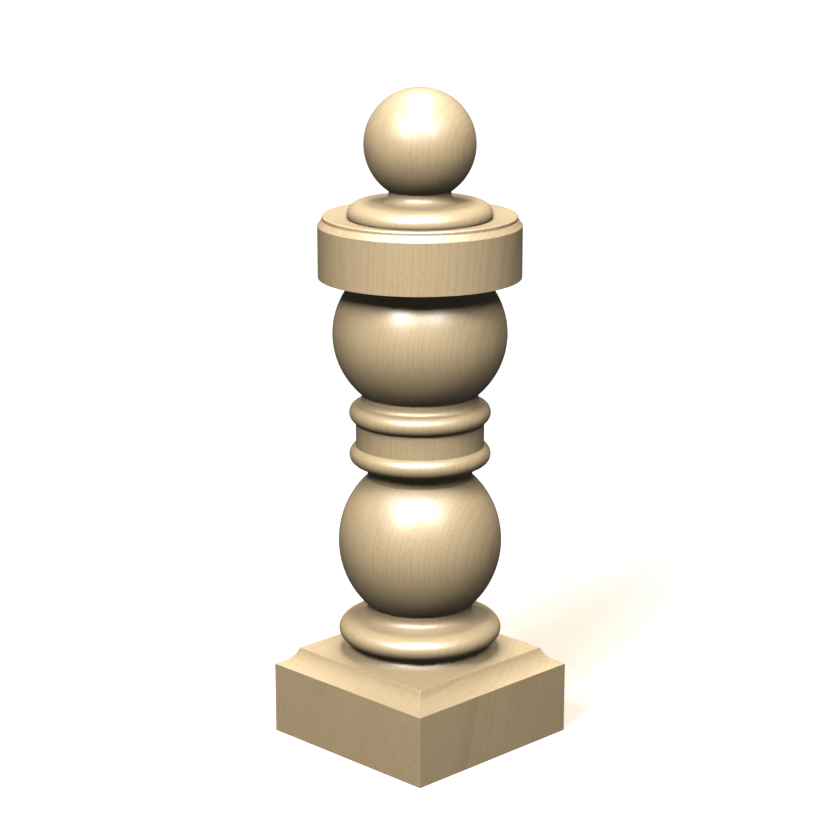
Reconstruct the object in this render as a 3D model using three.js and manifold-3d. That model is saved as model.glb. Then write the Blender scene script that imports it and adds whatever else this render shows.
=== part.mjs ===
// A short turned wooden baluster, one piece of timber from foot to ball.
// Millimetres, +Z up, origin at the centre of the underside, plinth sides along X and Y.
import * as THREE from "three";
import { mergeVertices } from "three/addons/utils/BufferGeometryUtils.js";
import Module from "manifold-3d";

// Square plinth, with a cove cut along the top of its four sides
const PLINTH_SIDE = 200;
const PLINTH_HEIGHT = 69.4;
const COVE_INSET = 17.4;
const COVE_HEIGHT = 16.9;
const COVE_HOLLOW = 2.5;

// Foot: the plinth's top flares up into a neck under the foot ring
const FLARE_RADIUS = 10.4;
const FOOT_RING_RADIUS = 78.2;
const FOOT_RING_BULGE = 16;
const FOOT_RING_HEIGHT = 24;
const FOOT_RING_OVERHANG = 14.7;
const FOOT_HOLLOW_HEIGHT = 9.3;

// Lower ball, between two upright necks of one radius
const LOWER_NECK_RADIUS = 50;
const FOOT_NECK_HEIGHT = 3.9;
const LOWER_BALL_RADIUS = 78.1;
const LOWER_BALL_HEIGHT = 164.8;
const THROAT_HEIGHT = 7.1;
const THROAT_HOLLOW_HEIGHT = 6.5;

// Collar: a plain band between two equal rings
const COLLAR_RING_RADIUS = 67.2;
const COLLAR_RING_BULGE = 8.5;
const COLLAR_RING_HEIGHT = 18;
const COLLAR_BAND_INSET = 6.2;
const COLLAR_BAND_HEIGHT = 23.2;
const COLLAR_HOLLOW_HEIGHT = 5;

// Upper ball, with the neck that it stands on and the neck that carries the drum
const UPPER_NECK_RADIUS = 55.3;
const UPPER_NECK_HEIGHT = 4.4;
const UPPER_BALL_RADIUS = 82.4;
const UPPER_BALL_HEIGHT = 155.4;
const DRUM_NECK_RADIUS = 62;
const DRUM_NECK_HEIGHT = 3.2;

// Drum, with a bevel round its top and a small step inside the bevel
const DRUM_RADIUS = 95.5;
const DRUM_HEIGHT = 48.9;
const BEVEL_INSET = 4.3;
const BEVEL_HEIGHT = 5.8;
const STEP_HEIGHT = 1.7;
const BEAD_RADIUS = 1.7;

// Top of the drum: a shallow dish, a low dome in it, and the hollow up to the ball
const DISH_DEPTH = 2.8;
const DOME_RADIUS = 68.1;
const DOME_BELLY_HEIGHT = 3.5;
const DOME_UNDERCUT = 1.6;
const DOME_SHOULDER = 15;
const DOME_RISE = 12.2;
const CAP_HOLLOW_RADIUS = 7.5;
const CAP_NECK_RADIUS = 29.2;
const CAP_NECK_HEIGHT = 2.1;
const TOP_BALL_RADIUS = 52.2;

// Fineness of the facets: flats round the axis, and the most that a profile's chord cuts off its arc
const FLATS_ROUND = 48;
const CHORD_DEPTH = 0.3;

// Oiled pale hardwood
const WOOD_COLOUR = 0xc7ae8a;
const WOOD_ROUGHNESS = 0.35;

const QUARTER_TURN = Math.PI / 2;

const wasm = await Module();
wasm.setup();

// Points along an elliptical arc about (radius, height), from one angle to another.
// Angle 0 points away from the axis and a quarter turn points up.
function arc(radius, height, across, up, from, to) {
  const widest = Math.max(across, up);
  const step = 2 * Math.acos(1 - CHORD_DEPTH / Math.max(widest, 2 * CHORD_DEPTH));
  const count = Math.max(3, Math.ceil(Math.abs(to - from) / step));
  const points = [];
  for (let i = 0; i <= count; i += 1) {
    const angle = from + ((to - from) * i) / count;
    points.push([radius + across * Math.cos(angle), height + up * Math.sin(angle)]);
  }
  return points;
}

// Angle on an ellipse, measured from its widest point, where it has come in by an inset.
function angleAtInset(across, inset) {
  return Math.acos(THREE.MathUtils.clamp(1 - inset / across, -1, 1));
}

// A ball turned between two necks: its arc runs from the radius of the lower neck to that of the upper.
function ball(radius, height, lowerNeck, upperNeck, foot) {
  const half = height / 2;
  const start = -angleAtInset(radius, radius - lowerNeck);
  const end = angleAtInset(radius, radius - upperNeck);
  const centre = foot - half * Math.sin(start);
  return arc(0, centre, radius, half, start, end);
}

function topOf(points) {
  return points[points.length - 1][1];
}

// Solid of revolution about Z from a profile that starts and ends on the axis.
function turned(profile, flats, start) {
  const points = profile.map(([radius, height]) => new THREE.Vector2(radius, height));
  const geometry = new THREE.LatheGeometry(points, flats, start);
  geometry.rotateX(QUARTER_TURN);
  return geometry;
}

function solid(geometry) {
  geometry.deleteAttribute("normal");
  geometry.deleteAttribute("uv");
  const merged = mergeVertices(geometry, 1e-4);
  const index = Array.from(merged.index.array);
  const faces = [];
  for (let i = 0; i < index.length; i += 3) {
    const [a, b, c] = index.slice(i, i + 3);
    if (a !== b && b !== c && c !== a) {
      faces.push(a, b, c);
    }
  }
  return new wasm.Manifold(new wasm.Mesh({
    numProp: 3,
    vertProperties: new Float32Array(merged.attributes.position.array),
    triVerts: new Uint32Array(faces),
  }));
}

function toGeometry(shape) {
  const mesh = shape.getMesh();
  const geometry = new THREE.BufferGeometry();
  geometry.setAttribute("position", new THREE.BufferAttribute(mesh.vertProperties, 3));
  geometry.setIndex(new THREE.BufferAttribute(mesh.triVerts, 1));
  geometry.computeVertexNormals();
  return geometry;
}

// The plinth is a square block, so its profile is turned with four flats, on its corners' radius.
// The cove is a shallow hollow: an arc through the block's arris and the arris of the flat on top.
function plinth() {
  const side = PLINTH_SIDE / 2;
  const top = PLINTH_HEIGHT + COVE_HEIGHT;
  const chord = Math.hypot(COVE_INSET, COVE_HEIGHT);
  const radius = (chord * chord) / (8 * COVE_HOLLOW) + COVE_HOLLOW / 2;
  const back = radius - COVE_HOLLOW;
  const centreAcross = side - COVE_INSET / 2 + (back * COVE_HEIGHT) / chord;
  const centreUp = PLINTH_HEIGHT + COVE_HEIGHT / 2 + (back * COVE_INSET) / chord;
  const from = Math.atan2(PLINTH_HEIGHT - centreUp, side - centreAcross);
  const to = Math.atan2(top - centreUp, side - COVE_INSET - centreAcross);
  const fullTurn = 2 * Math.PI;
  const sweep = ((to - from - Math.PI + fullTurn) % fullTurn) - Math.PI;
  const cove = arc(centreAcross, centreUp, radius, radius, from, from + sweep);
  const halfSides = [[0, 0], [side, 0], ...cove, [0, top]];
  const corners = halfSides.map(([across, up]) => [across * Math.SQRT2, up]);
  return solid(turned(corners, 4, Math.PI / 4));
}

// Flare and foot ring: the ring overhangs the neck that the flare rises to.
function foot(base) {
  const neck = FOOT_RING_RADIUS - FOOT_RING_OVERHANG;
  const half = FOOT_RING_HEIGHT / 2;
  const under = angleAtInset(FOOT_RING_BULGE, FOOT_RING_OVERHANG);
  const crown = FOOT_RING_RADIUS - FOOT_RING_BULGE;
  const flareTop = base + FLARE_RADIUS;
  const centre = flareTop + half * Math.sin(under);
  const hollowTop = centre + half + FOOT_HOLLOW_HEIGHT;
  const hollowWidth = crown - LOWER_NECK_RADIUS;
  return [
    ...arc(neck + FLARE_RADIUS, flareTop, FLARE_RADIUS, FLARE_RADIUS, -QUARTER_TURN, -2 * QUARTER_TURN),
    ...arc(crown, centre, FOOT_RING_BULGE, half, -under, QUARTER_TURN),
    ...arc(crown, hollowTop, hollowWidth, FOOT_HOLLOW_HEIGHT, -QUARTER_TURN, -2 * QUARTER_TURN),
  ];
}

// Hollow, ring, band, ring and hollow again, from the neck under it to the neck over it.
function collar(base) {
  const half = COLLAR_RING_HEIGHT / 2;
  const crown = COLLAR_RING_RADIUS - COLLAR_RING_BULGE;
  const meet = angleAtInset(COLLAR_RING_BULGE, COLLAR_BAND_INSET);
  const lowerWidth = crown - LOWER_NECK_RADIUS;
  const upperWidth = crown - UPPER_NECK_RADIUS;
  const lowerCentre = base + THROAT_HOLLOW_HEIGHT + half;
  const upperCentre = lowerCentre + 2 * half * Math.sin(meet) + COLLAR_BAND_HEIGHT;
  const hollowTop = upperCentre + half + COLLAR_HOLLOW_HEIGHT;
  return [
    ...arc(crown, base, lowerWidth, THROAT_HOLLOW_HEIGHT, 2 * QUARTER_TURN, QUARTER_TURN),
    ...arc(crown, lowerCentre, COLLAR_RING_BULGE, half, -QUARTER_TURN, meet),
    ...arc(crown, upperCentre, COLLAR_RING_BULGE, half, -meet, QUARTER_TURN),
    ...arc(crown, hollowTop, upperWidth, COLLAR_HOLLOW_HEIGHT, -QUARTER_TURN, -2 * QUARTER_TURN),
  ];
}

// Drum with its bevel, step, bead and dish, then the dome and the hollow up to the cap's neck.
function cap(base) {
  const bevelTop = base + DRUM_HEIGHT + BEVEL_HEIGHT;
  const stepRadius = DRUM_RADIUS - BEVEL_INSET;
  const beadCentre = bevelTop + STEP_HEIGHT;
  const dish = beadCentre + BEAD_RADIUS - DISH_DEPTH;
  const belly = dish + DOME_BELLY_HEIGHT;
  const crown = DOME_RADIUS - DOME_SHOULDER;
  const hollowTop = belly + DOME_RISE + CAP_HOLLOW_RADIUS;
  const hollowRadius = CAP_NECK_RADIUS + CAP_HOLLOW_RADIUS;
  return [
    [DRUM_RADIUS, base],
    [DRUM_RADIUS, base + DRUM_HEIGHT],
    [stepRadius, bevelTop],
    ...arc(stepRadius - BEAD_RADIUS, beadCentre, BEAD_RADIUS, BEAD_RADIUS, 0, QUARTER_TURN),
    ...arc(DOME_RADIUS - DOME_UNDERCUT, belly, DOME_UNDERCUT, DOME_BELLY_HEIGHT, -QUARTER_TURN, 0),
    ...arc(crown, belly, DOME_SHOULDER, DOME_RISE, 0, QUARTER_TURN),
    ...arc(hollowRadius, hollowTop, CAP_HOLLOW_RADIUS, CAP_HOLLOW_RADIUS, -QUARTER_TURN, -2 * QUARTER_TURN),
  ];
}

// Everything above the plinth is turned on the lathe: its members stand on one another in order.
function shaft() {
  const seat = PLINTH_HEIGHT + COVE_HEIGHT;
  const footMembers = foot(seat);
  const lowerBall = ball(
    LOWER_BALL_RADIUS, LOWER_BALL_HEIGHT, LOWER_NECK_RADIUS, LOWER_NECK_RADIUS,
    topOf(footMembers) + FOOT_NECK_HEIGHT,
  );
  const collarMembers = collar(topOf(lowerBall) + THROAT_HEIGHT);
  const upperBall = ball(
    UPPER_BALL_RADIUS, UPPER_BALL_HEIGHT, UPPER_NECK_RADIUS, DRUM_NECK_RADIUS,
    topOf(collarMembers) + UPPER_NECK_HEIGHT,
  );
  const drumBase = topOf(upperBall) + DRUM_NECK_HEIGHT;
  const capMembers = cap(drumBase);
  const topBall = ball(
    TOP_BALL_RADIUS, 2 * TOP_BALL_RADIUS, CAP_NECK_RADIUS, 0,
    topOf(capMembers) + CAP_NECK_HEIGHT,
  );
  const rooted = footMembers[0][0];
  const profile = [
    [0, PLINTH_HEIGHT],
    [rooted, PLINTH_HEIGHT],
    ...footMembers,
    ...lowerBall,
    ...collarMembers,
    ...upperBall,
    [DRUM_NECK_RADIUS, drumBase],
    ...capMembers,
    ...topBall,
  ];
  return solid(turned(profile, FLATS_ROUND, 0));
}

const wood = new THREE.MeshStandardMaterial({
  color: WOOD_COLOUR,
  roughness: WOOD_ROUGHNESS,
  metalness: 0,
});

const baluster = new THREE.Mesh(toGeometry(plinth().add(shaft())), wood);
baluster.name = "baluster";

const part = new THREE.Group();
part.add(baluster);

export default part;
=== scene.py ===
"""A short wooden baluster, turned from one square blank: its post and its plain studio."""

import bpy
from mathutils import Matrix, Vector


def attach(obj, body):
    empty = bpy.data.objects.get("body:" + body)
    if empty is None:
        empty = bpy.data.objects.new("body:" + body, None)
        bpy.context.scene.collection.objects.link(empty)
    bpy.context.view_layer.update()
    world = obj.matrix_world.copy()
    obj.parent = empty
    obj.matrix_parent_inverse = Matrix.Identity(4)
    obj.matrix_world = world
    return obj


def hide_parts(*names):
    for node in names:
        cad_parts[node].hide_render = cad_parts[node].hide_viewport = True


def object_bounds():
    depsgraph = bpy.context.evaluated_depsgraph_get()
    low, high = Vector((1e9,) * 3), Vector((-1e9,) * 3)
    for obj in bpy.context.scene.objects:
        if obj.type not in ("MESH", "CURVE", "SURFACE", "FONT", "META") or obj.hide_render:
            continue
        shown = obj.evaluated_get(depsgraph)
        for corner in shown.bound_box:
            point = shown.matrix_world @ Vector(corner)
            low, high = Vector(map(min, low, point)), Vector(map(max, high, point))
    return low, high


bl_info = {
    "name": "Turned Baluster",
    "version": (1, 0, 0),
    "blender": (4, 5, 0),
    "location": "3D View > Sidebar > Baluster",
    "description": "A turned hardwood baluster on a square plinth, in a plain studio",
    "category": "Add Mesh",
}

import math

import bpy
import numpy as np
from bpy.props import FloatProperty, FloatVectorProperty, PointerProperty
from bpy.types import Operator, Panel, PropertyGroup
from mathutils import Vector

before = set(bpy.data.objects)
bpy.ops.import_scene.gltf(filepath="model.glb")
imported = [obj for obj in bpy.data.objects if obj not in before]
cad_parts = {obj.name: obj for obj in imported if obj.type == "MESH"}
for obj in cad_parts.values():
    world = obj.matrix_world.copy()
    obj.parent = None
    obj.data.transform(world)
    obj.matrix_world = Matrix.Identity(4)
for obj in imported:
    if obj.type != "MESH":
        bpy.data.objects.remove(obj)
CAD_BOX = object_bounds()

MM = 0.001
QUARTER = math.pi / 2


def size(label, millimetres, about):
    """A length that a user may change, given here in millimetres."""
    return FloatProperty(
        name=label,
        description=about,
        default=millimetres * MM,
        min=0,
        precision=4,
        unit="LENGTH",
        subtype="DISTANCE",
    )


def amount(label, value, about, high=1.0):
    """A plain number from nothing to a highest value."""
    return FloatProperty(name=label, description=about, default=value, min=0, max=high)


def power(label, watts, about):
    """The power of a light, in watts."""
    return FloatProperty(
        name=label,
        description=about,
        default=watts,
        min=0,
        max=5000,
        unit="POWER",
    )


def turn(label, degrees, about):
    """An angle, given here in degrees."""
    return FloatProperty(
        name=label,
        description=about,
        default=math.radians(degrees),
        unit="ROTATION",
        subtype="ANGLE",
    )


def linear(hex_colour):
    """The linear colour of an sRGB hex value."""
    srgb = np.array([int(hex_colour[i : i + 2], 16) for i in (1, 3, 5)]) / 255
    return tuple(np.where(srgb <= 0.04045, srgb / 12.92, ((srgb + 0.055) / 1.055) ** 2.4))


def colour(label, hex_colour, about):
    """A colour, given here as an sRGB hex value."""
    return FloatVectorProperty(
        name=label,
        description=about,
        default=linear(hex_colour),
        min=0,
        max=1,
        size=3,
        subtype="COLOR",
    )


class PlinthSizes(PropertyGroup):
    """The square block that the post stands on."""

    side: FloatProperty(
        name="Side",
        description="Width of the square block",
        default=round(CAD_BOX[1].x - CAD_BOX[0].x, 5),
        min=0,
        precision=4,
        unit="LENGTH",
        subtype="DISTANCE",
    )
    height: size("Height", 69.4, "Height of the block's upright faces")
    cove_inset: size("Cove inset", 17.4, "How far the cove cuts in from the block's faces")
    cove_height: size("Cove height", 16.9, "How far the cove rises over the block's faces")
    cove_hollow: size("Cove hollow", 3.0, "Depth of the cove behind a straight slope")
    arris: size("Arris", 0.25, "How far every sharp edge is sanded back")


class FootSizes(PropertyGroup):
    """The flare on the plinth, the ring over it and the hollow up to the lower ball."""

    flare: size("Flare", 10.4, "Radius of the hollow that rises from the plinth's top")
    ring_radius: size("Ring radius", 78.2, "Radius of the foot ring at its widest")
    ring_bulge: size("Ring bulge", 16, "How far the ring stands out beyond its crown")
    ring_height: size("Ring height", 24, "Height of the foot ring")
    overhang: size("Overhang", 14.7, "How far the ring stands out over the flare's neck")
    hollow: size("Hollow", 9.3, "Height of the hollow from the ring up to the neck")
    neck: size("Neck", 3.9, "Height of the upright neck under the lower ball")


class BallSizes(PropertyGroup):
    """The two balls of the shaft, the ball on top, and their necks."""

    lower_radius: size("Lower radius", 78.1, "Radius of the lower ball")
    lower_height: size("Lower height", 164.8, "Height of the lower ball, were it not cut by necks")
    lower_neck: size("Lower neck", 50, "Radius of the necks under and over the lower ball")
    upper_radius: size("Upper radius", 82.4, "Radius of the upper ball")
    upper_height: size("Upper height", 155.4, "Height of the upper ball, were it not cut by necks")
    upper_neck: size("Upper neck", 55.3, "Radius of the neck under the upper ball")
    upper_neck_height: size("Upper neck height", 4.4, "Height of the neck under the upper ball")
    drum_neck: size("Drum neck", 62, "Radius of the neck under the drum")
    drum_neck_height: size("Drum neck height", 3.2, "Height of the neck under the drum")
    top_radius: size("Top radius", 52.2, "Radius of the ball on top")


class CollarSizes(PropertyGroup):
    """The plain band with a ring over and under it, between the two balls of the shaft."""

    throat: size("Throat", 7.1, "Height of the neck between the lower ball and the collar")
    lower_hollow: size("Lower hollow", 6.5, "Height of the hollow under the lower ring")
    ring_radius: size("Ring radius", 67.2, "Radius of the two rings at their widest")
    ring_bulge: size("Ring bulge", 8.5, "How far the rings stand out beyond their crowns")
    ring_height: size("Ring height", 18, "Height of each ring")
    band_inset: size("Band inset", 6.2, "How far the band lies behind the rings")
    band_height: size("Band height", 23.2, "Height of the band between the rings")
    upper_hollow: size("Upper hollow", 5, "Height of the hollow over the upper ring")


class CapSizes(PropertyGroup):
    """The drum, the dished top with its low dome, and the hollow up to the ball on top."""

    drum_radius: size("Drum radius", 95.5, "Radius of the drum")
    drum_height: size("Drum height", 48.9, "Height of the drum's upright wall")
    bevel_inset: size("Bevel inset", 4.3, "How far the bevel cuts in from the drum's wall")
    bevel_height: size("Bevel height", 5.8, "How far the bevel rises over the drum's wall")
    step: size("Step", 1.7, "Height of the small step inside the bevel")
    bead: size("Bead", 1.7, "Radius of the rounded edge over the step")
    dish: size("Dish", 2.8, "How far the top falls from the bead to the dome's foot")
    dome_radius: size("Dome radius", 68.1, "Radius of the dome at its widest")
    dome_belly: size("Dome belly", 3.5, "Height of the dome's widest line over the dish")
    dome_undercut: size("Dome undercut", 1.6, "How far the dome draws in below its widest line")
    dome_shoulder: size("Dome shoulder", 15, "How far the dome's rounded side reaches in")
    dome_rise: size("Dome rise", 12.2, "Height of the dome's crown over its widest line")
    hollow: size("Hollow", 7.5, "Radius of the hollow from the dome up to the neck")
    neck: size("Neck", 29.2, "Radius of the neck under the ball on top")
    neck_height: size("Neck height", 2.1, "Height of the neck under the ball on top")


class WoodFinish(PropertyGroup):
    """Beech, turned along its grain, sanded smooth and sealed with a satin lacquer."""

    early: colour("Early wood", "#AD9876", "Colour of the wood grown in spring")
    late: colour("Late wood", "#A08B68", "Colour of the thin line that ends each year's growth")
    fleck: colour("Ray fleck", "#927854", "Colour of the small spindle marks of beech")
    year: size("Year", 3.6, "Mean width of one year's growth")
    heart_distance: size("Heart distance", 165, "How far from the post's axis the tree's heart ran")
    fleck_height: size("Fleck height", 5.5, "Spacing of the ray flecks along the grain")
    fleck_width: size("Fleck width", 2.6, "Spacing of the ray flecks round the tree")
    fibre_width: size("Fibre width", 1.3, "Width of a strand of fibres")
    fibre_length: size("Fibre length", 32, "Length of a strand of fibres")
    roughness: amount("Roughness", 0.5, "Roughness of the sanded wood under its lacquer")
    lacquer: amount("Lacquer", 1.0, "How fully the lacquer covers the wood")
    lacquer_roughness: amount("Lacquer roughness", 0.36, "Roughness of the satin lacquer")


class StudioSettings(PropertyGroup):
    """The camera, the lights and the pale floor."""

    camera_distance: size("Camera distance", 2159, "Level distance from the post to the camera")
    camera_height: size("Camera height", 886.8, "Height of the camera over the floor")
    camera_azimuth: turn("Camera azimuth", 45, "Turn of the camera from the plinth's front")
    camera_tilt: turn("Camera tilt", 14.83, "How far the camera looks down")
    lens: FloatProperty(
        name="Lens",
        description="Focal length of the camera",
        default=100.89,
        min=1,
        unit="CAMERA",
    )
    floor: colour("Floor", "#F2F0EC", "Colour of the floor")
    # Painted shade: the warm colour the floor glows with near the post, which sets the tone of the
    # post's faint shadow
    painted_shadow_glow: colour("Floor glow", "#FCF1DF", "Light that the floor gives off near the post")
    ambient: amount("Ambient", 0.032, "Strength of the even light from all round", 10)
    left_power: power("Left light", 138, "Soft light on the camera's left")
    right_power: power("Right light", 76, "Soft light on the camera's right")
    middle_power: power("Middle light", 80, "Soft light over the camera")
    top_power: power("Top light", 105, "Soft light high in front")
    back_power: power("Back light", 140, "Soft light high behind")
    left_side_power: power("Left side light", 30, "Soft light far round on the left")
    right_side_power: power("Right side light", 14, "Soft light far round on the right")
    rear_power: power("Rear lights", 60, "Each of the two lower soft lights behind")


class BalusterSettings(PropertyGroup):
    """Every size and colour of the baluster and its studio."""

    plinth: PointerProperty(type=PlinthSizes)
    foot: PointerProperty(type=FootSizes)
    balls: PointerProperty(type=BallSizes)
    collar: PointerProperty(type=CollarSizes)
    cap: PointerProperty(type=CapSizes)
    wood: PointerProperty(type=WoodFinish)
    studio: PointerProperty(type=StudioSettings)


# Curves of the profile, as rows of radius, height and roundness.
# Roundness is 0 where the post is square and 1 where it is round.

FACET_TURN = math.radians(5)
FACET_LENGTH = 3.8 * MM
FEWEST_FACETS = 4
SHARP = math.radians(12)  # a smaller bend between two runs is left as it is
SANDED_FACETS = 6


def arc(radius, height, across, up, start, end, roundness=1.0):
    """An elliptical arc: radius + across cos a, height + up sin a, for even steps of angle a."""
    sweep = abs(end - start)
    steps = math.ceil(max(sweep / FACET_TURN, sweep * max(across, up) / FACET_LENGTH))
    a = np.linspace(start, end, max(FEWEST_FACETS, steps) + 1)
    return np.column_stack(
        [radius + across * np.cos(a), height + up * np.sin(a), np.full(len(a), roundness)]
    )


def straight(start, end, steps=10):
    """A straight run in a number of steps, which shorten at both ends as (1 - cos pi s) / 2.

    The short steps keep the shading of the flat clear of the sanded edges.
    """
    share = (1 - np.cos(np.linspace(0, math.pi, steps + 1))) / 2
    return np.array(start) + share[:, None] * (np.array(end) - np.array(start))


def upright(radius, base, height, steps):
    """A straight run that rises by a height, round and of one radius."""
    return straight((radius, base, 1), (radius, base + height, 1), steps)


def cut_back(run, length):
    """The run without its last stretch of that chord length, and the point of the cut."""
    gap = np.hypot(*(run[:, :2] - run[-1, :2]).T)
    last = int(np.flatnonzero(gap > length)[-1])
    share = (gap[last] - length) / (gap[last] - gap[last + 1])
    return run[: last + 1], run[last] + share * (run[last + 1] - run[last])


def sanded(runs, arris):
    """One line through all runs, with each sharp corner between two runs sanded to a small curve.

    The curve is (1 - t)^2 a + 2 t (1 - t) c + t^2 b, from the cut a on one run to the cut b on the
    next, with the corner c between them.
    """
    line = runs[0]
    for run in runs[1:]:
        before, after = line[-1, :2] - line[-2, :2], run[1, :2] - run[0, :2]
        bend = abs(math.atan2(before[0] * after[1] - before[1] * after[0], before @ after))
        if bend < SHARP:
            line = np.vstack([line, run[1:]])
            continue
        corner = run[0]
        line, first = cut_back(line, arris)
        rest, last = cut_back(run[::-1], arris)
        t = np.linspace(0, 1, SANDED_FACETS + 1)[:, None]
        curve = (1 - t) ** 2 * first + 2 * t * (1 - t) * corner + t**2 * last
        line = np.vstack([line, curve, rest[::-1]])
    return line


def inset_angle(across, inset):
    """The angle from an ellipse's widest point to an inset: acos(1 - inset / across)."""
    return math.acos(max(-1.0, min(1.0, 1 - inset / across)))


def ball(radius, height, lower_neck, upper_neck, foot):
    """A ball between two necks: an elliptical arc that starts and ends at the necks' radii."""
    start = -inset_angle(radius, radius - lower_neck)
    end = inset_angle(radius, radius - upper_neck)
    return arc(0, foot - height / 2 * math.sin(start), radius, height / 2, start, end)


def plinth_runs(plinth, foot):
    """The underside, the upright face, the cove and the flat top, from the axis to the flare.

    The cove is an arc through its two ends, whose middle lies a given depth behind the straight
    slope between them: its radius is chord^2 / (8 depth) + depth / 2.
    """
    side, top = plinth.side / 2, plinth.height + plinth.cove_height
    chord = math.hypot(plinth.cove_inset, plinth.cove_height)
    radius = chord**2 / (8 * plinth.cove_hollow) + plinth.cove_hollow / 2
    back = (radius - plinth.cove_hollow) / chord
    centre = side - plinth.cove_inset / 2 + back * plinth.cove_height
    middle = plinth.height + plinth.cove_height / 2 + back * plinth.cove_inset
    start = math.atan2(plinth.height - middle, side - centre)
    end = math.atan2(top - middle, side - plinth.cove_inset - centre)
    end = start + (end - start + math.pi) % (2 * math.pi) - math.pi
    flat_end = foot.ring_radius - foot.overhang + foot.flare
    return [
        straight((0, 0, 0), (side, 0, 0), 14),
        straight((side, 0, 0), (side, plinth.height, 0), 14),
        arc(centre, middle, radius, radius, start, end, 0.0),
        straight((side - plinth.cove_inset, top, 0), (flat_end, top, 1), 8),
    ]


def foot_runs(foot, balls, base):
    """The flare, a quarter circle, the foot ring, a part of an ellipse, and the hollow over it."""
    neck = foot.ring_radius - foot.overhang
    half = foot.ring_height / 2
    under = inset_angle(foot.ring_bulge, foot.overhang)
    crown = foot.ring_radius - foot.ring_bulge
    flare_top = base + foot.flare
    centre = flare_top + half * math.sin(under)
    hollow_top = centre + half + foot.hollow
    return [
        arc(neck + foot.flare, flare_top, foot.flare, foot.flare, -QUARTER, -2 * QUARTER),
        arc(crown, centre, foot.ring_bulge, half, -under, QUARTER),
        arc(crown, hollow_top, crown - balls.lower_neck, foot.hollow, -QUARTER, -2 * QUARTER),
        upright(balls.lower_neck, hollow_top, foot.neck, 4),
    ]


def collar_runs(collar, balls, base):
    """Throat, hollow, ring, band, ring and hollow, each ring a part of the same ellipse."""
    half = collar.ring_height / 2
    crown = collar.ring_radius - collar.ring_bulge
    band = collar.ring_radius - collar.band_inset
    meet = inset_angle(collar.ring_bulge, collar.band_inset)
    foot = base + collar.throat
    lower = foot + collar.lower_hollow + half
    upper = lower + 2 * half * math.sin(meet) + collar.band_height
    top = upper + half + collar.upper_hollow
    band_foot = lower + half * math.sin(meet)
    return [
        upright(balls.lower_neck, base, collar.throat, 5),
        arc(crown, foot, crown - balls.lower_neck, collar.lower_hollow, 2 * QUARTER, QUARTER),
        arc(crown, lower, collar.ring_bulge, half, -QUARTER, meet),
        upright(band, band_foot, collar.band_height, 9),
        arc(crown, upper, collar.ring_bulge, half, -meet, QUARTER),
        arc(crown, top, crown - balls.upper_neck, collar.upper_hollow, -QUARTER, -2 * QUARTER),
        upright(balls.upper_neck, top, balls.upper_neck_height, 4),
    ]


def cap_runs(cap, balls, base):
    """Drum, bevel, step, bead, dish, dome and hollow, up to the neck of the ball on top."""
    drum_base = base + balls.drum_neck_height
    drum_top = drum_base + cap.drum_height
    bevel_top = drum_top + cap.bevel_height
    step = cap.drum_radius - cap.bevel_inset
    bead = bevel_top + cap.step
    dish = bead + cap.bead - cap.dish
    belly = dish + cap.dome_belly
    foot = cap.dome_radius - cap.dome_undercut
    crown = cap.dome_radius - cap.dome_shoulder
    hollow = belly + cap.dome_rise + cap.hollow
    return [
        upright(balls.drum_neck, base, balls.drum_neck_height, 4),
        straight((balls.drum_neck, drum_base, 1), (cap.drum_radius, drum_base, 1), 8),
        upright(cap.drum_radius, drum_base, cap.drum_height, 12),
        straight((cap.drum_radius, drum_top, 1), (step, bevel_top, 1), 6),
        upright(step, bevel_top, cap.step, 4),
        arc(step - cap.bead, bead, cap.bead, cap.bead, 0, QUARTER),
        straight((step - cap.bead, bead + cap.bead, 1), (foot, dish, 1), 8),
        arc(foot, belly, cap.dome_undercut, cap.dome_belly, -QUARTER, 0),
        arc(crown, belly, cap.dome_shoulder, cap.dome_rise, 0, QUARTER),
        straight(
            (crown, belly + cap.dome_rise, 1), (cap.neck + cap.hollow, belly + cap.dome_rise, 1), 6
        ),
        arc(cap.neck + cap.hollow, hollow, cap.hollow, cap.hollow, -QUARTER, -2 * QUARTER),
        upright(cap.neck, hollow, cap.neck_height, 3),
    ]


def reached(runs):
    """The height at which the last of the runs ends."""
    return runs[-1][-1, 1]


def post_profile(settings):
    """Every run from the centre of the underside to the top of the upper ball, stacked in order."""
    plinth, foot, balls, cap = settings.plinth, settings.foot, settings.balls, settings.cap
    runs = plinth_runs(plinth, foot)
    runs += foot_runs(foot, balls, reached(runs))
    neck = balls.lower_neck
    runs.append(ball(balls.lower_radius, balls.lower_height, neck, neck, reached(runs)))
    runs += collar_runs(settings.collar, balls, reached(runs))
    neck = balls.upper_neck
    runs.append(ball(balls.upper_radius, balls.upper_height, neck, balls.drum_neck, reached(runs)))
    runs += cap_runs(cap, balls, reached(runs))
    runs.append(ball(balls.top_radius, 2 * balls.top_radius, cap.neck, 0, reached(runs)))
    return sanded(runs, plinth.arris)


COLUMNS_PER_SIDE = 34
COLUMNS_PER_CORNER = 6


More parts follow.
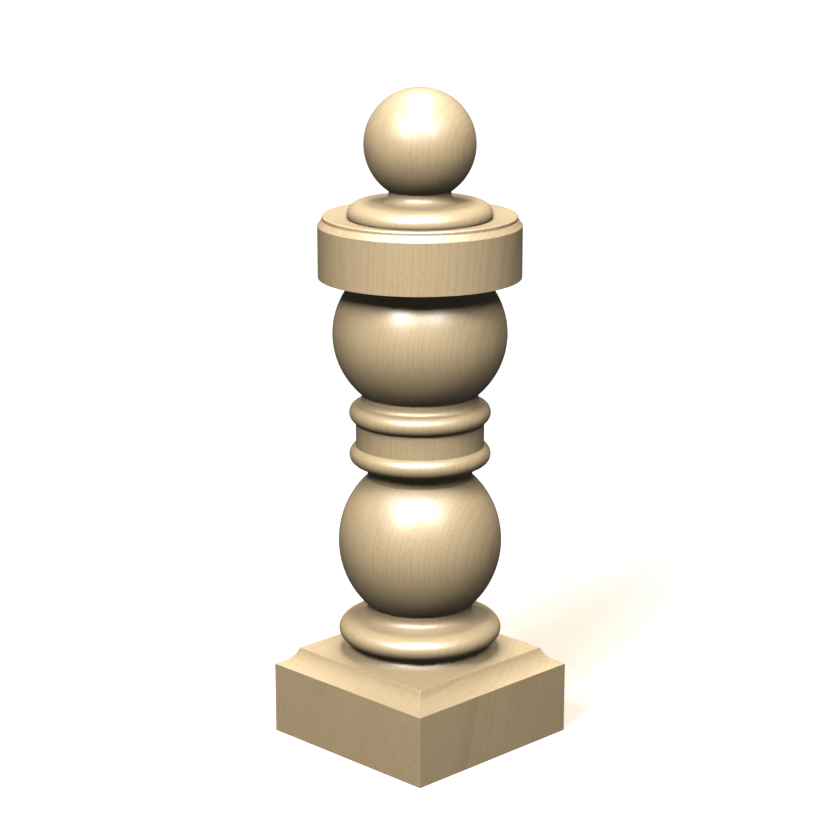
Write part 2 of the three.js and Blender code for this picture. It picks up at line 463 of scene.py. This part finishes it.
def section(half_side, arris):
    """One ring's points, counter-clockwise: (a, b, angle) for all four sides.

    A square of half side h with corners rounded by c has the points (h - c) a + c b. On a side, a
    is (1, t) and b is (1, 0), with t from -1 to 1 spaced as a tangent, so that a round ring on the
    same angles is even. Round a corner, a is (1, 1) and b is (cos q, sin q). angle is the point's
    angle about the axis.
    """
    lean = math.atan(1 - arris / half_side)
    t = np.tan(np.linspace(-lean, lean, COLUMNS_PER_SIDE)) / math.tan(lean)
    close = 1 - 0.5 * arris / half_side
    t = np.concatenate([[-1, -close], t[1:-1], [close, 1]])
    q = np.linspace(0, QUARTER, COLUMNS_PER_CORNER + 1)[1:-1]
    a = np.vstack([np.column_stack([np.ones_like(t), t]), np.ones((len(q), 2))])
    b = np.vstack([np.tile([1.0, 0.0], (len(t), 1)), np.column_stack([np.cos(q), np.sin(q)])])
    quarter_turn = np.array([[0, 1], [-1, 0]])
    turns = [np.linalg.matrix_power(quarter_turn, i) for i in range(4)]
    a, b = (np.concatenate([points @ turned for turned in turns]) for points in (a, b))
    corners = (half_side - arris) * a + arris * b
    return a, b, np.arctan2(corners[:, 1], corners[:, 0])


def post_surface(profile, half_side, arris):
    """Rings of points over columns and profile: (1 - w) times the square plus w times the circle.

    The square is the rounded one, the circle's points are r (cos angle, sin angle), and w is the
    profile's roundness.
    """
    a, b, angle = section(half_side, arris)
    radius, height, roundness = (profile[:, i, None, None] for i in range(3))
    corner = np.minimum(arris, radius)
    square = (radius - corner) * a + corner * b
    circle = radius * np.column_stack([np.cos(angle), np.sin(angle)])
    flat = (1 - roundness) * square + roundness * circle
    return np.concatenate([flat, np.broadcast_to(height, flat[..., :1].shape)], axis=2)


def closed_mesh(name, rings):
    """A mesh over rings of points, the first and last ring each drawn in to one point on the axis.

    Ring k and column j meet ring k + 1 and column j + 1 in a four-sided face that looks outwards.
    """
    count, columns = len(rings) - 2, rings.shape[1]
    points = np.vstack([rings[1:-1].reshape(-1, 3), rings[0, :1], rings[-1, :1]])
    here = np.arange(columns)
    after = np.roll(here, -1)
    row = columns * np.arange(count - 1)[:, None]
    above = row + columns
    sides = np.stack([row + here, row + after, above + after, above + here], axis=-1)
    low, high = count * columns, count * columns + 1
    last = columns * (count - 1)
    fans = np.vstack(
        [
            np.column_stack([np.full(columns, low), after, here]),
            np.column_stack([np.full(columns, high), last + here, last + after]),
        ]
    )
    mesh = bpy.data.meshes.new(name)
    mesh.from_pydata(points.tolist(), [], sides.reshape(-1, 4).tolist() + fans.tolist())
    mesh.shade_smooth()
    mesh.validate()
    return mesh


def show(name, mesh):
    """A new object for a mesh, at the origin of the scene."""
    piece = bpy.data.objects.new(name, mesh)
    bpy.context.scene.collection.objects.link(piece)
    return piece


def add(tree, kind, settings=None, **inputs):
    """Adds a node to a tree, with its settings, and its inputs as values or other nodes' outputs.

    An input is given by its name, or as _0, _1 and so on by its place among the sockets.
    """
    node = tree.nodes.new(kind)
    for name, value in (settings or {}).items():
        setattr(node, name, value)
    for name, value in inputs.items():
        label = name.replace("_", " ").strip()
        socket = node.inputs[int(label)] if label.isdigit() else node.inputs[label]
        if isinstance(value, bpy.types.NodeSocket):
            tree.links.new(value, socket)
        else:
            socket.default_value = value
    return node


# The wood's figure

HEART_SIDE = (0.9, 0.43, 0)  # where the tree's heart ran, as shares of its distance
HEART_LEAN = (math.radians(1.5), math.radians(-2.2), 0)
SWAY = (14 * MM, 14 * MM, 0)  # how far the years wander from true circles
SWAYS_PER_METRE = 7
CLOUDS_PER_METRE = 16
ALONG_GRAIN = (1, 1, 0.25)  # sways and clouds are four times as long along the grain as across
YEAR_DRIFT, YEAR_DRIFT_RATE = 2.4, 0.35  # years by which lean and fat growth shifts the count
LATE_START, LATE_FULL, LATE_SHARE = 0.45, 0.96, 0.65  # where a year darkens, and how far
RAY_DEPTH = 16 * MM  # how far a ray runs towards the heart
FLECK_RIM, FLECK_CORE, FLECK_SHARE = 0.34, 0.16, 0.32  # in cells from a fleck's middle
DARKEST, FIBRE_TONE, CLOUD_TONE = 0.86, 0.14, 0.14  # the least brightness, and what each adds
GRAIN_DEPTH, GRAIN_STRENGTH, GRAIN_ROUGHNESS = 0.06 * MM, 0.25, 0.05

# Both a little over a usual finish, to give the strong highlights of the photo
WOOD_IOR, LACQUER_IOR = 1.6, 1.7
WARM_GLOSS = (1.0, 0.86, 0.66, 1)


def beech(finish):
    """Beech, turned along its grain, sanded smooth and sealed with a satin lacquer.

    To the eye it is an even pale tan. Faint lines a few millimetres apart mark the years, as ovals
    on the balls, arcs on the flat tops and near-straight lines on the upright faces. Short darker
    spindles are scattered along the grain, and the lacquer gives broad, soft highlights.
    """
    material = bpy.data.materials.new("beech_satin_lacquer")
    material.use_nodes = True
    tree = material.node_tree
    tree.nodes.clear()
    place = add(tree, "ShaderNodeTexCoord").outputs["Object"]

    # The tree's heart ran outside the blank and leant a little, so the years cross it as wide arcs
    heart = add(
        tree,
        "ShaderNodeMapping",
        Vector=place,
        Location=tuple(share * finish.heart_distance for share in HEART_SIDE),
        Rotation=HEART_LEAN,
    )
    along = add(tree, "ShaderNodeMapping", Vector=place, Scale=ALONG_GRAIN).outputs["Vector"]
    sway = add(tree, "ShaderNodeTexNoise", Vector=along, Scale=SWAYS_PER_METRE, Detail=1)
    swayed = add(
        tree,
        "ShaderNodeVectorMath",
        {"operation": "MULTIPLY_ADD"},
        _0=sway.outputs["Color"],
        _1=SWAY,
        _2=heart.outputs["Vector"],
    ).outputs["Vector"]
    level = add(
        tree, "ShaderNodeVectorMath", {"operation": "MULTIPLY"}, _0=swayed, _1=(1, 1, 0)
    ).outputs["Vector"]
    reach = add(
        tree, "ShaderNodeVectorMath", {"operation": "LENGTH"}, _0=level
    ).outputs["Value"]

    # Years: the distance from the heart over a year's width, with lean and fat years
    count = add(
        tree, "ShaderNodeMath", {"operation": "DIVIDE"}, _0=reach, _1=finish.year
    ).outputs[0]
    lean = add(
        tree,
        "ShaderNodeTexNoise",
        {"noise_dimensions": "1D"},
        W=count,
        Scale=YEAR_DRIFT_RATE,
        Detail=1,
    )
    years = add(
        tree,
        "ShaderNodeMath",
        {"operation": "MULTIPLY_ADD"},
        _0=lean.outputs["Fac"],
        _1=YEAR_DRIFT,
        _2=count,
    ).outputs[0]
    part = add(tree, "ShaderNodeMath", {"operation": "FRACT"}, _0=years).outputs[0]
    late = add(
        tree,
        "ShaderNodeMapRange",
        {"interpolation_type": "SMOOTHSTEP"},
        Value=part,
        From_Min=LATE_START,
        From_Max=LATE_FULL,
        To_Max=LATE_SHARE,
    ).outputs["Result"]

    # Ray flecks: thin plates that point at the heart, spindles on one face, wider marks on the next
    axes = add(tree, "ShaderNodeSeparateXYZ", Vector=swayed).outputs
    bearing = add(
        tree, "ShaderNodeMath", {"operation": "ARCTAN2"}, _0=axes["Y"], _1=axes["X"]
    ).outputs[0]
    cells = add(
        tree,
        "ShaderNodeCombineXYZ",
        X=add(
            tree, "ShaderNodeMath", {"operation": "DIVIDE"}, _0=reach, _1=RAY_DEPTH
        ).outputs[0],
        Y=add(
            tree,
            "ShaderNodeMath",
            {"operation": "MULTIPLY"},
            _0=bearing,
            _1=finish.heart_distance / finish.fleck_width,
        ).outputs[0],
        Z=add(
            tree, "ShaderNodeMath", {"operation": "DIVIDE"}, _0=axes["Z"], _1=finish.fleck_height
        ).outputs[0],
    )
    rays = add(tree, "ShaderNodeTexVoronoi", Vector=cells.outputs["Vector"], Scale=1)
    fleck = add(
        tree,
        "ShaderNodeMapRange",
        {"interpolation_type": "SMOOTHSTEP"},
        Value=rays.outputs["Distance"],
        From_Min=FLECK_RIM,
        From_Max=FLECK_CORE,
        To_Max=FLECK_SHARE,
    ).outputs["Result"]

    # Strands of fibre, about three times as coarse as real ones so that they show
    strands = add(
        tree,
        "ShaderNodeMapping",
        Vector=place,
        Scale=(1 / finish.fibre_width, 1 / finish.fibre_width, 1 / finish.fibre_length),
    ).outputs["Vector"]
    fibre = add(tree, "ShaderNodeTexNoise", Vector=strands, Scale=1, Detail=2).outputs["Fac"]
    cloud = add(
        tree, "ShaderNodeTexNoise", Vector=along, Scale=CLOUDS_PER_METRE, Detail=2
    ).outputs["Fac"]
    tone = add(
        tree,
        "ShaderNodeMath",
        {"operation": "MULTIPLY_ADD"},
        _0=fibre,
        _1=FIBRE_TONE,
        _2=DARKEST,
    ).outputs[0]
    tone = add(
        tree,
        "ShaderNodeMath",
        {"operation": "MULTIPLY_ADD"},
        _0=cloud,
        _1=CLOUD_TONE,
        _2=tone,
    ).outputs[0]

    ringed = add(
        tree,
        "ShaderNodeMix",
        {"data_type": "RGBA"},
        _0=late,
        _6=(*finish.early, 1),
        _7=(*finish.late, 1),
    ).outputs[2]
    flecked = add(
        tree,
        "ShaderNodeMix",
        {"data_type": "RGBA"},
        _0=fleck,
        _6=ringed,
        _7=(*finish.fleck, 1),
    ).outputs[2]
    toned = add(tree, "ShaderNodeHueSaturation", Color=flecked, Value=tone)

    # The open grain leaves a trace of texture under the lacquer
    grain = add(
        tree,
        "ShaderNodeBump",
        Strength=GRAIN_STRENGTH,
        Distance=GRAIN_DEPTH,
        Height=fibre,
    )
    sheen = add(
        tree,
        "ShaderNodeMapRange",
        Value=fibre,
        To_Min=finish.roughness - GRAIN_ROUGHNESS,
        To_Max=finish.roughness + GRAIN_ROUGHNESS,
    )
    body = add(
        tree,
        "ShaderNodeBsdfPrincipled",
        Base_Color=toned.outputs["Color"],
        Roughness=sheen.outputs["Result"],
        Normal=grain.outputs["Normal"],
        IOR=WOOD_IOR,
        Specular_IOR_Level=1.0,
        Specular_Tint=WARM_GLOSS,
        Coat_Weight=finish.lacquer,
        Coat_Roughness=finish.lacquer_roughness,
        Coat_IOR=LACQUER_IOR,
    )
    add(tree, "ShaderNodeOutputMaterial", Surface=body.outputs["BSDF"])
    return material


class BALUSTER_OT_post(Operator):
    """Turn the post in beech, from its square plinth to the ball on top"""

    bl_idname = "baluster.post"
    bl_label = "Turn the post"

    def execute(self, context):
        settings = context.scene.baluster
        plinth = settings.plinth
        rings = post_surface(post_profile(settings), plinth.side / 2, plinth.arris)
        post = show("post", closed_mesh("post", rings))
        post.data.materials.append(beech(settings.wood))
        # The post throws no light back on itself, which keeps its necks and undersides dark
        post.visible_diffuse = post.visible_glossy = False
        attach(post, "root")
        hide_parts("baluster")
        return {"FINISHED"}


ROOM_RADIUS = 12.0
# The floor's warm glow near the post is painted shadow colour, and it turns white between these
# distances
GLOW_NEAR, GLOW_FAR = 0.3, 0.7  # the floor's warm glow turns white between these distances
LIGHT_REACH, LIGHT_WIDTH = 4, 1.2
LIGHT_AIM = Vector((0, 0, 0.35))


def disc(name, radius):
    """A flat round sheet: the points r (cos a, sin a) at height nothing, as one face."""
    a = np.linspace(0, 2 * math.pi, 128, endpoint=False)
    points = radius * np.column_stack([np.cos(a), np.sin(a), np.zeros_like(a)])
    mesh = bpy.data.meshes.new(name)
    mesh.from_pydata(points.tolist(), [], [list(range(len(points)))])
    return mesh


def dome(name, radius):
    """A half sphere over the floor, seen from inside: r (cos e cos a, cos e sin a, sin e)."""
    a, e = np.meshgrid(np.linspace(0, 2 * math.pi, 65), np.linspace(0, QUARTER, 17))
    points = radius * np.stack([np.cos(e) * np.cos(a), np.cos(e) * np.sin(a), np.sin(e)], axis=-1)
    index = np.arange(a.size).reshape(a.shape)
    faces = np.stack([index[:-1, :-1], index[1:, :-1], index[1:, 1:], index[:-1, 1:]], axis=-1)
    mesh = bpy.data.meshes.new(name)
    mesh.from_pydata(points.reshape(-1, 3).tolist(), [], faces.reshape(-1, 4).tolist())
    return mesh


def plain(name, kind, **inputs):
    """A material of one plain shader."""
    material = bpy.data.materials.new(name)
    material.use_nodes = True
    tree = material.node_tree
    tree.nodes.clear()
    shader = add(tree, kind, **inputs)
    add(tree, "ShaderNodeOutputMaterial", Surface=shader.outputs[0])
    return material


def glowing_paper(studio):
    """Paper that glows by itself as painted light: warm near the post, where the glow is the
    painted colour of the post's faint shadow, and plain white further off.
    """
    material = bpy.data.materials.new("glowing_paper")
    material.use_nodes = True
    tree = material.node_tree
    tree.nodes.clear()
    place = add(tree, "ShaderNodeTexCoord").outputs["Object"]
    away = add(tree, "ShaderNodeVectorMath", {"operation": "LENGTH"}, _0=place)
    far = add(
        tree,
        "ShaderNodeMapRange",
        {"interpolation_type": "SMOOTHSTEP"},
        Value=away.outputs["Value"],
        From_Min=GLOW_NEAR,
        From_Max=GLOW_FAR,
    )
    shade = add(
        tree,
        "ShaderNodeMix",
        {"data_type": "RGBA"},
        _0=far.outputs["Result"],
        _6=(*studio.painted_shadow_glow, 1),
        _7=(1, 1, 1, 1),
    )
    # Painted light: the floor glows, warm near the post as painted shadow colour and white further
    # off
    glow = add(tree, "ShaderNodeEmission", Color=shade.outputs[2], Strength=1)
    paper = add(tree, "ShaderNodeBsdfDiffuse", Color=(*studio.floor, 1))
    both = add(tree, "ShaderNodeAddShader", _0=glow.outputs[0], _1=paper.outputs[0])
    add(tree, "ShaderNodeOutputMaterial", Surface=both.outputs[0])
    return material


def soft_light(name, azimuth, elevation, power, passes_over=None, gloss=True):
    """A round soft light, aimed at the post from an azimuth and elevation in degrees.

    It may leave unlit what a collection excludes, and may give no highlight.
    """
    a, e = math.radians(azimuth), math.radians(elevation)
    lamp = bpy.data.lights.new(name, "AREA")
    lamp.shape, lamp.size, lamp.energy = "DISK", LIGHT_WIDTH, power
    # Reached by shadow rays alone, as the post would let a reflected ray pass through it
    lamp.cycles.use_multiple_importance_sampling = False
    light = bpy.data.objects.new(name, lamp)
    away = Vector((math.sin(a) * math.cos(e), -math.cos(a) * math.cos(e), math.sin(e)))
    light.location = LIGHT_AIM + LIGHT_REACH * away
    light.rotation_euler = away.to_track_quat("Z", "Y").to_euler()
    light.light_linking.receiver_collection = passes_over
    light.visible_glossy = gloss
    bpy.context.scene.collection.objects.link(light)


class BALUSTER_OT_stage(Operator):
    """Set up the pale floor, the soft lights and the camera"""

    bl_idname = "baluster.stage"
    bl_label = "Set up the studio"

    def execute(self, context):
        scene = context.scene
        studio = scene.baluster.studio

        # The floor and the backdrop throw no light back, which keeps the undersides dark
        floor = show("floor", disc("floor", ROOM_RADIUS))
        backdrop = show("backdrop", dome("backdrop", ROOM_RADIUS))
        floor.data.materials.append(glowing_paper(studio))
        white = plain("white_backdrop", "ShaderNodeEmission", Color=(1, 1, 1, 1))
        backdrop.data.materials.append(white)
        for sheet in (floor, backdrop):
            sheet.visible_diffuse = sheet.visible_glossy = False
        backdrop.visible_shadow = False

        azimuth = studio.camera_azimuth
        camera = bpy.data.objects.new("camera", bpy.data.cameras.new("camera"))
        camera.data.lens = studio.lens
        camera.data.clip_end = 100
        camera.location = (
            studio.camera_distance * math.sin(azimuth),
            -studio.camera_distance * math.cos(azimuth),
            studio.camera_height,
        )
        camera.rotation_euler = (QUARTER - studio.camera_tilt, 0, azimuth)
        scene.collection.objects.link(camera)
        scene.camera = camera

        # Only the left light falls on the floor, so that the post throws a single faint shadow
        unlit = bpy.data.collections.new("lit_by_the_left_light_only")
        unlit.objects.link(floor)
        unlit.collection_objects[0].light_linking.link_state = "EXCLUDE"
        front = math.degrees(azimuth)
        soft_light("left_light", front - 29, 40, studio.left_power)
        soft_light("right_light", front + 26, 41.5, studio.right_power, unlit)
        soft_light("middle_light", front, 50, studio.middle_power, unlit)
        soft_light("top_light", front, 71, studio.top_power, unlit)
        soft_light("back_light", front + 180, 75, studio.back_power, unlit)
        soft_light("left_side_light", front - 60, 50, studio.left_side_power, unlit)
        soft_light("right_side_light", front + 60, 50, studio.right_side_power, unlit)
        soft_light("rear_right_light", front + 155, 40, studio.rear_power, unlit, False)
        soft_light("rear_left_light", front - 155, 40, studio.rear_power, unlit, False)

        world = bpy.data.worlds.new("studio")
        world.use_nodes = True
        air = world.node_tree.nodes["Background"].inputs
        air["Color"].default_value, air["Strength"].default_value = (1, 1, 1, 1), studio.ambient
        scene.world = world
        scene.view_settings.view_transform = "Standard"
        return {"FINISHED"}


class BALUSTER_PT_panel(Panel):
    """The baluster's tools in the sidebar"""

    bl_idname = "BALUSTER_PT_panel"
    bl_label = "Baluster"
    bl_space_type = "VIEW_3D"
    bl_region_type = "UI"
    bl_category = "Baluster"

    def draw(self, context):
        for operator in (BALUSTER_OT_post, BALUSTER_OT_stage):
            self.layout.operator(operator.bl_idname)


CLASSES = (
    PlinthSizes,
    FootSizes,
    BallSizes,
    CollarSizes,
    CapSizes,
    WoodFinish,
    StudioSettings,
    BalusterSettings,
    BALUSTER_OT_post,
    BALUSTER_OT_stage,
    BALUSTER_PT_panel,
)


def register():
    for kind in CLASSES:
        bpy.utils.register_class(kind)
    bpy.types.Scene.baluster = PointerProperty(type=BalusterSettings)


def unregister():
    del bpy.types.Scene.baluster
    for kind in reversed(CLASSES):
        bpy.utils.unregister_class(kind)


def main():
    register()
    bpy.ops.baluster.post()
    bpy.ops.baluster.stage()


if __name__ == "__main__":
    main()
